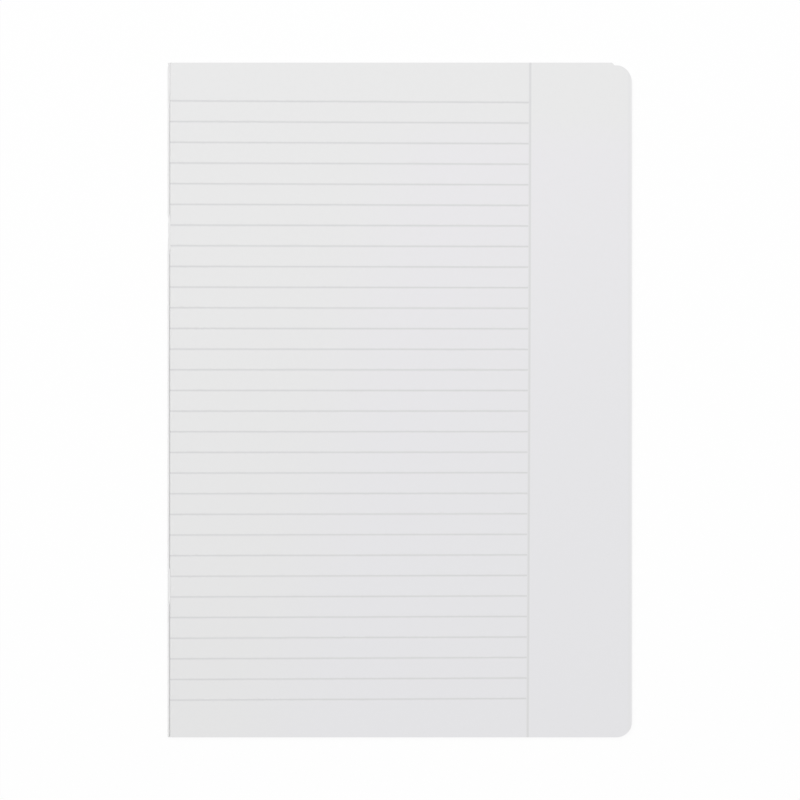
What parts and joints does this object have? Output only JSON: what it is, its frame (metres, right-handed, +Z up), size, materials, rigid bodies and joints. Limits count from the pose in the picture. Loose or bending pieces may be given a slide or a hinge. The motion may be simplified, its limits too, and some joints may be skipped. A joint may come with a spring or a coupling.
{
  "type": "exercise book",
  "caption": "Stapled exercise book of ruled paper with a side margin and two round corners, its front cover folded right round behind it.",
  "frame": {"origin": "middle of the underside, on the surface that the book lies on", "axes": "+X from the spine to the fore-edge, +Y to the head of the page, +Z up out of the first page"},
  "size_m": [0.2046, 0.297, 0.0024],
  "materials": {
    "paper": "matte",
    "cover_card": "matte",
    "staple_wire": "satin",
    "ruling_ink": "matte"
  },
  "bodies": {
    "page_block": {"pages": "paper", "staple_top": "staple_wire", "staple_bottom": "staple_wire"},
    "back": {"back_cover": "cover_card"},
    "spine": {"cover_spine": "cover_card"},
    "front": {"front_cover": "cover_card"}
  },
  "joints": [
    {"name": "back_cover_open", "type": "hinge", "parent": "page_block", "child": "back", "pos_m": [-0.10185, 0, 0.00152], "axis": [0, 1, 0], "range_deg": [0, 180]},
    {"name": "crease_turn", "type": "hinge", "parent": "back", "child": "spine", "pos_m": [-0.10185, 0, 0.00152], "axis": [0, 1, 0], "range_deg": [0, 179.95]},
    {"name": "front_cover_open", "type": "hinge", "parent": "spine", "child": "front", "pos_m": [-0.10212, 0, 0.00028], "axis": [0, 1, 0], "range_deg": [0, 179.95]}
  ]
}
